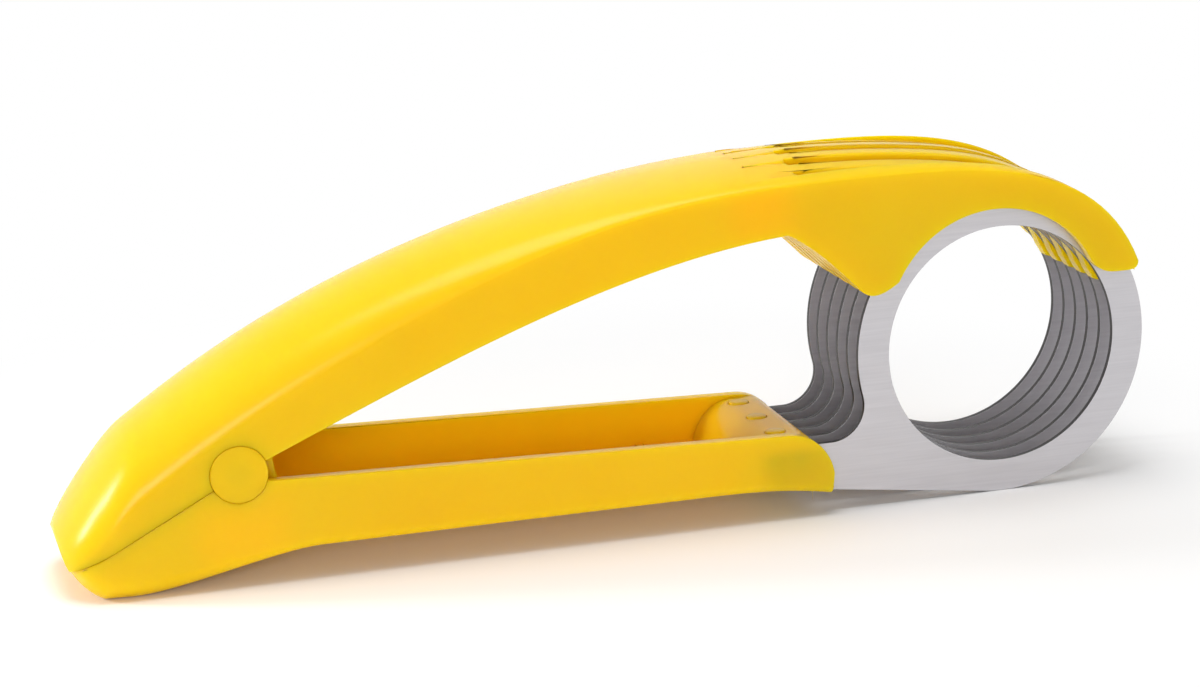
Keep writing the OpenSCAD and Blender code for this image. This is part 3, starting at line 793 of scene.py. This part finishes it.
join(lower, lower_lug(1), lower_lug(-1))
cut(lower, block("front", (SHANK_X, -INNER_W, -1), (FAR, INNER_W, FAR)),
    bar("pin_hole", PIVOT_X, PIVOT_H, PIN_D / 2, -HALF_W, HALF_W, 96), cap_recess(1), cap_recess(-1),
    *[bar("cross_hole", x, PIN_Z, 1, -INNER_W - WALL / 2, INNER_W + WALL / 2, 48) for x in PIN_X],
    peg_hole())
ease_edges(lower, 0.22)
# The lower arm's wall carries the painted shade over the tangs.
dress(lower, TANG_SHADED_YELLOW, "yellow_plastic", "base", "lower_arm")

# %% [markdown]
# ## The blades
#
# Each blade is one stamping of 1 mm sheet: a ring, a web that runs back from its foot, a round
# throat between ring and shank, and a tang that the holder grips. A flat curve is the natural way
# to make a stamping: an outer outline and its holes, filled, extruded, and given a very small
# round edge all along. The row tree then sets six of them side by side.

# %% One blade, then six
THROAT_Z = THROAT_R - THROAT_DROP
THROAT_X = -sqrt((RIM_R + THROAT_R) ** 2 - THROAT_Z ** 2)
EDGE = 0.06        # the round edge left by the stamping


def arc(x, z, r, start, end, steps):
    turns = [radians(start + (end - start) * k / steps) for k in range(steps + 1)]
    return [(x + r * cos(a), z + r * sin(a)) for a in turns]


def blade_outline():
    """Round the ring over its top, then back along the web's lower edge to the tang and the throat."""
    meet = degrees(np.arctan2(THROAT_Z, THROAT_X)) % 360
    ring = arc(0, 0, RIM_R, meet, 270 - WEB_ANGLE - 360, 150)
    low, web_x = ring[-1], SHANK_X + 0.2 - RING_X
    tang_x = SHANK_X - TANG_LEN - RING_X
    web = [(web_x, low[1] + (low[0] - web_x) * tan(radians(WEB_ANGLE))), (web_x, -THROAT_DROP - TANG_H),
           (tang_x, -THROAT_DROP - TANG_H), (tang_x, -THROAT_DROP)]
    throat = arc(THROAT_X, THROAT_Z, THROAT_R, 270, 360 + meet - 180, 36)
    return ring + web + throat[:-1]


def blade():
    flat = bpy.data.curves.new("blades", "CURVE")
    flat.dimensions, flat.fill_mode = "2D", "BOTH"
    rims = [blade_outline(), arc(0, 0, RING_R, 0, 360, 160)[:-1]]
    rims += [arc(x - RING_X, PIN_Z - RING_Z, 1.05, 0, 360, 32)[:-1] for x in PIN_X]
    for rim in rims:
        line = flat.splines.new("POLY")
        line.points.add(len(rim) - 1)
        for point, (x, z) in zip(line.points, rim):
            point.co = (x / 1000, z / 1000, 0, 1)
        line.use_cyclic_u = True
    flat.extrude = (BLADE_T / 2 - EDGE) / 1000
    flat.bevel_depth, flat.bevel_resolution, flat.offset = EDGE / 1000, 2, -EDGE / 1000
    drawn = bpy.data.objects.new("blade_line", flat)
    bpy.context.scene.collection.objects.link(drawn)
    bpy.context.view_layer.update()
    mesh = bpy.data.meshes.new_from_object(drawn.evaluated_get(bpy.context.evaluated_depsgraph_get()))
    bpy.data.objects.remove(drawn)
    mesh.transform(Matrix.Translation((RING_X / 1000, 0, RING_Z / 1000)) @ Matrix.Rotation(radians(90), 4, "X"))
    thing = bpy.data.objects.new("blades", mesh)
    bpy.context.scene.collection.objects.link(thing)
    bm = bmesh.new()
    bm.from_mesh(mesh)
    bmesh.ops.remove_doubles(bm, verts=bm.verts, dist=1e-6)
    bmesh.ops.dissolve_limit(bm, angle_limit=radians(0.2), verts=bm.verts, edges=bm.edges)
    bmesh.ops.recalc_face_normals(bm, faces=bm.faces)
    open_edges = sum(not e.is_manifold for e in bm.edges)
    bm.to_mesh(mesh)
    bm.free()
    print("one blade with", open_edges, "open edges")
    return thing


blades = row(blade(), BLADES, (0, BLADE_Y[0], 0), (0, PITCH, 0), STEEL)
shade(blades, 50, weigh=True)
# Marks the cut edges, whose nearly black colour is painted shade.
rim = blades.data.attributes.new("painted_dark_edge", "FLOAT", "FACE")
rim.data.foreach_set("value", [float(abs(face.normal.y) < 0.9) for face in blades.data.polygons])
dress(blades, STEEL, "blade_steel", "base", *[f"blade_{i + 1}" for i in range(BLADES)])

# %% [markdown]
# ## The blade holder and its pegs
#
# A yellow block closes the trough's front and grips the six tangs. Three pegs with low domed
# heads hold it down. Their heads stand in round seats, so each one shows a thin ring of shadow.

# %% Holder
def holder():
    top, back, floor_z = HOLDER_Z, SHANK_X - 5.8, ARCH_H + FLOOR_T
    foot = (back - 7.5, floor_z + 0.3)
    rear = curve([foot, (foot[0] + 1, foot[1] + 4.1), (back - 3.7, top), (back, top)], 24)
    front = curve([(SHANK_X - 3, top), (SHANK_X - 1.3, top), (SHANK_X, top - 0.7), (SHANK_X, top - 2)], 8)
    thing = side("blade_holder_block", rear + front + [(SHANK_X, TANG_Z), (SHANK_X - 6, floor_z)],
                 -INNER_W, INNER_W)
    tang = block("tang", (SHANK_X - TANG_LEN - 0.2, -BLADE_T / 2 - 0.05, 0),
                 (FAR, BLADE_T / 2 + 0.05, TANG_Z + TANG_H + 0.1))
    cut(thing, row(tang, BLADES, (0, BLADE_Y[0], 0), (0, PITCH, 0)),
        *[bar("cross_hole", x, PIN_Z, 1, -HALF_W, HALF_W, 48) for x in PIN_X])
    seat = set_down(bar("seat", 0, 0, 1.85, 0, 20, 64), 90, (PEG_X, 0, top - 0.5))
    return cut(thing, peg_hole(), row(seat, 3, (0, PEG_Y[0], 0), (0, PEG_Y[2], 0)))


block_piece = ease_edges(holder(), 0.15)
dress(block_piece, SMALL, "yellow_plastic", "base", "blade_holder")


# %% Pegs, turned about their own axis
def turned(name, profile, steps=48):
    """A closed solid of revolution from (radius, height) pairs that start and end on the axis."""
    rings = profile[1:-1]
    points = [(0, 0, profile[0][1]), (0, 0, profile[-1][1])]
    for r, z in rings:
        points += [(r * cos(2 * pi * k / steps), r * sin(2 * pi * k / steps), z) for k in range(steps)]
    faces, last = [], 2 + (len(rings) - 1) * steps
    for k in range(steps):
        j = (k + 1) % steps
        faces.append((0, 2 + j, 2 + k))
        faces += [(i + k, i + j, i + steps + j, i + steps + k) for i in range(2, last, steps)]
        faces.append((1, last + k, last + j))
    return solid(name, points, faces)


seat_z, head_z = HOLDER_Z - 0.5, HOLDER_Z + 0.25
dome = [(1.75 - 0.25 * (1 - cos(a)), seat_z + 0.45 + 0.2 * sin(a)) for a in (0, pi / 6, pi / 3)]
stem = [(0, PEG_FOOT), (0.9, PEG_FOOT), (1.0, PEG_FOOT + 0.1), (1.0, seat_z), (1.75, seat_z)]
peg = turned("holder_peg_row", stem + dome + [(1.2, head_z - 0.03), (0.6, head_z - 0.005), (0, head_z)])
peg.data.transform(Matrix.Translation((PEG_X / 1000, 0, 0)))
pegs = row(peg, 3, (0, PEG_Y[0], 0), (0, PEG_Y[2], 0), SMALL)
dress(shade(pegs, 40), SMALL, "yellow_plastic", "base", "holder_pegs")

# %% [markdown]
# ## The pivot
#
# A steel pin joins the arms, and a yellow cap closes flush over each end. The cap is a short
# turned piece: a flat face with a rounded rim, and a blind hole behind it that takes the pin.
# A narrow gap all round it shows as a fine dark circle.

# %% Caps
def cap(name, s):
    back, depth, r = INNER_W - 0.15, INNER_W + 1.2, CAP_D / 2
    rim = [(r - 0.22 + 0.22 * cos(k * pi / 8), HALF_W - 0.22 + 0.22 * sin(k * pi / 8)) for k in range(5)]
    thing = turned(name, [(0, depth), (PIN_D / 2, depth), (PIN_D / 2, back), (r - 0.1, back), (r, back + 0.1)]
                   + rim + [(2.4, HALF_W), (0, HALF_W)], 96)
    return shade(set_down(thing, -90 * s, (PIVOT_X, 0, PIVOT_H)), 40)


for name, s in (("left_pivot_cap", -1), ("right_pivot_cap", 1)):
    dress(cap(name + "_round", s), SMALL, "yellow_plastic", "base", name)

# %% [markdown]
# ## The spring
#
# A torsion spring sits round the pin between the lugs and pushes the arms apart. Its lower leg
# rests in the trough and its upper leg under the roof. The wire is a thin round profile swept
# along a path, which is what Curve to Mesh is for, so a small tree turns a drawn path into the
# wire. The two ends belong to two arms.

# %% Path of the wire
WIRE, COIL_R, LEG, LOW_LEN, TURNS = 1.2, 3.3, 28.0, 16.0, 4
leg_drop = PIVOT_H - ARCH_H - FLOOR_T - WIRE / 2 - 0.1
LOW_LEG = degrees(-asin(leg_drop / sqrt(COIL_R ** 2 + LOW_LEN ** 2)) - atan(COIL_R / LOW_LEN))
roof = [(x, z - WIRE / 2 - 0.4) for x, z in back_line(WALL, 9)]


def leg_tip(angle):
    a = radians(angle)
    return PIVOT_X + COIL_R * sin(a) + LEG * cos(a), PIVOT_H - COIL_R * cos(a) + LEG * sin(a)


HIGH_LEG = max(a / 4 for a in range(80, 301) if leg_tip(a / 4)[1] < np.interp(leg_tip(a / 4)[0], *zip(*roof)))
COIL_START = 90 + LOW_LEG
SWEEP = 360 * TURNS + 270 + HIGH_LEG - COIL_START


def coil_point(a):
    turn = radians(COIL_START + a)
    return np.array((COIL_R * cos(turn), (WIRE + 0.15) * (a / 360 - SWEEP / 720), COIL_R * sin(turn)))


def leg_way(angle):
    return np.array((cos(radians(angle)), 0, sin(radians(angle))))


steps = ceil(SWEEP / 360 * 40)
wire_path = [coil_point(0) + far * leg_way(LOW_LEG) for far in (LOW_LEN, 8, 1.5)]
wire_path += [coil_point(SWEEP * i / steps) for i in range(steps + 1)]
wire_path += [coil_point(SWEEP) + far * leg_way(HIGH_LEG) for far in (1.5, 12, LEG)]
print("spring legs at", round(LOW_LEG, 1), "and", round(HIGH_LEG, 1), "degrees")


# %% A tree that sweeps a wire
def wire_tree():
    tree = bpy.data.node_groups.new("wire", "GeometryNodeTree")
    face = tree.interface
    face.new_socket("Geometry", in_out="INPUT", socket_type="NodeSocketGeometry")
    for name, kind in (("Wire Radius", "NodeSocketFloat"), ("Sides", "NodeSocketInt"),
                       ("Finish", "NodeSocketMaterial")):
        face.new_socket(name, in_out="INPUT", socket_type=kind)
    face.new_socket("Geometry", in_out="OUTPUT", socket_type="NodeSocketGeometry")
    add, link = tree.nodes.new, tree.links.new
    given, out = add("NodeGroupInput"), add("NodeGroupOutput")
    path, profile = add("GeometryNodeMeshToCurve"), add("GeometryNodeCurvePrimitiveCircle")
    sweep = add("GeometryNodeCurveToMesh")
    real, finish_step = add("GeometryNodeRealizeInstances"), add("GeometryNodeSetMaterial")
    sweep.inputs["Fill Caps"].default_value = True
    link(given.outputs["Geometry"], path.inputs["Mesh"])
    link(given.outputs["Wire Radius"], profile.inputs["Radius"])
    link(given.outputs["Sides"], profile.inputs["Resolution"])
    link(path.outputs["Curve"], sweep.inputs["Curve"])
    link(profile.outputs["Curve"], sweep.inputs["Profile Curve"])
    link(sweep.outputs["Mesh"], real.inputs["Geometry"])
    link(real.outputs["Geometry"], finish_step.inputs["Geometry"])
    link(given.outputs["Finish"], finish_step.inputs["Material"])
    link(finish_step.outputs["Geometry"], out.inputs["Geometry"])
    return tree


def spring():
    mesh = bpy.data.meshes.new("spring_wire")
    points = [(Vector(p) + Vector((PIVOT_X, 0, PIVOT_H))) / 1000 for p in wire_path]
    mesh.from_pydata(points, [(i, i + 1) for i in range(len(points) - 1)], [])
    thing = bpy.data.objects.new("spring_wire", mesh)
    bpy.context.scene.collection.objects.link(thing)
    run_tree(thing, wire_tree(), **{"Wire Radius": WIRE / 2000, "Sides": 16, "Finish": PIN})
    bm = bmesh.new()
    bm.from_mesh(thing.data)
    bmesh.ops.remove_doubles(bm, verts=bm.verts, dist=1e-7)
    bmesh.ops.recalc_face_normals(bm, faces=bm.faces)
    bm.to_mesh(thing.data)
    bm.free()
    return shade(thing, 50)


coil = spring()
coil.data.materials.clear()
coil.data.materials.append(PIN)
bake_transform(coil)
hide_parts("torsion_spring")
say(coil)

# %% [markdown]
# ## The pins
#
# The pivot pin and the two cross pins are plain round bars that hardly show, and their solids
# are already round. They stay as they are and only get the drawn steel.

# %% Pins
for name in ("pivot_pin", "front_cross_pin", "rear_cross_pin"):
    pin = frame["nodes"][name]
    pin.data.materials.clear()
    pin.data.materials.append(PIN)
    low, high = ([round(1000 * v, 1) for v in corner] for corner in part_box(name))
    print(name, "from", low, "to", high)

# %% [markdown]
# ## The floor and the light
#
# The tool stands on a wide white floor under three soft white lamps: a large one overhead, one on
# the left that draws the bright spot on the tail, and a large low one in front that lights the
# walls and the trough. The world gives the rest of the light.
#
# Rays that go straight from the camera, or mirror off metal, see a world at a strength of 1,
# which is white. For the same rays the floor turns to plain white further out, so the background
# has no horizon, and near the tool it keeps the shadow.

# %% Floor
FLOOR_R, FADE_FROM, FADE_TO = 4.0, 0.085, 0.17        # in metres


def seen_straight(nodes, links):
    """1 for rays that the camera, a mirror or glass sends, and 0 for rays that only carry light."""
    path = nodes.new("ShaderNodeLightPath")
    either = path.outputs["Is Camera Ray"]
    for name in ("Is Glossy Ray", "Is Transmission Ray"):
        most = nodes.new("ShaderNodeMath")
        most.operation = "MAXIMUM"
        links.new(either, most.inputs[0])
        links.new(path.outputs[name], most.inputs[1])
        either = most.outputs[0]
    return either


def floor():
    mesh = bpy.data.meshes.new("floor")
    corners = [(x * FLOOR_R, y * FLOOR_R, 0) for x, y in ((-1, -1), (1, -1), (1, 1), (-1, 1))]
    mesh.from_pydata(corners, [], [(0, 1, 2, 3)])
    thing = bpy.data.objects.new("floor", mesh)
    bpy.context.scene.collection.objects.link(thing)
    material, nodes, links, shader, place = finish("floor")
    tone = ramp(nodes, links, noise(nodes, links, place, 3), (0.90, 0.90, 0.90), (0.92, 0.92, 0.92))
    links.new(tone, shader.inputs["Base Color"])
    shader.inputs["Roughness"].default_value = 0.6
    shader.inputs["Specular IOR Level"].default_value = 0.2
    shift, away = nodes.new("ShaderNodeVectorMath"), nodes.new("ShaderNodeVectorMath")
    fade, both = nodes.new("ShaderNodeMapRange"), nodes.new("ShaderNodeMath")
    white, mix = nodes.new("ShaderNodeEmission"), nodes.new("ShaderNodeMixShader")
    shift.inputs[1].default_value = (0.015, 0, 0)
    away.operation, fade.interpolation_type, both.operation = "LENGTH", "SMOOTHSTEP", "MULTIPLY"
    fade.inputs["From Min"].default_value, fade.inputs["From Max"].default_value = FADE_FROM, FADE_TO
    links.new(place, shift.inputs[0])
    links.new(shift.outputs[0], away.inputs[0])
    links.new(away.outputs["Value"], fade.inputs["Value"])
    links.new(fade.outputs["Result"], both.inputs[0])
    links.new(seen_straight(nodes, links), both.inputs[1])
    links.new(both.outputs[0], mix.inputs[0])
    links.new(shader.outputs[0], mix.inputs[1])
    links.new(white.outputs[0], mix.inputs[2])
    links.new(mix.outputs[0], nodes["Material Output"].inputs["Surface"])
    mesh.materials.append(material)
    return thing


# %% World and lamps
WORLD_LIGHT = 0.36


def world():
    sky = bpy.data.worlds.new("world")
    sky.use_nodes = True
    nodes, links = sky.node_tree.nodes, sky.node_tree.links
    back = nodes["Background"]
    level = nodes.new("ShaderNodeMapRange")
    level.inputs["To Min"].default_value, level.inputs["To Max"].default_value = WORLD_LIGHT, 1.0
    links.new(seen_straight(nodes, links), level.inputs["Value"])
    links.new(level.outputs["Result"], back.inputs["Strength"])
    back.inputs["Color"].default_value = (1, 1, 1, 1)
    bpy.context.scene.world = sky


def lamp(name, at, to, size, power):
    data = bpy.data.lights.new(name, "AREA")
    data.shape, data.size, data.size_y, data.energy = "RECTANGLE", size[0], size[1], power
    thing = bpy.data.objects.new(name, data)
    thing.location = at
    thing.rotation_euler = (Vector(to) - Vector(at)).to_track_quat("-Z", "Y").to_euler()
    bpy.context.scene.collection.objects.link(thing)
    print(name, power, "W over", round(size[0] * size[1], 3), "m2")
    return thing


floor()
world()
lamp("overhead_lamp", (-0.04, -0.03, 0.65), (0, 0, 0), (0.36, 0.36), 2.6)
lamp("left_lamp", (-0.60, 0.20, 0.24), (-0.088, -0.012, 0.015), (0.09, 0.20), 2.2)
lamp("front_lamp", (-0.36, -0.84, 0.26), (0, 0, 0.03), (0.36, 0.26), 3.2)
bpy.context.scene.view_settings.view_transform = "Standard"
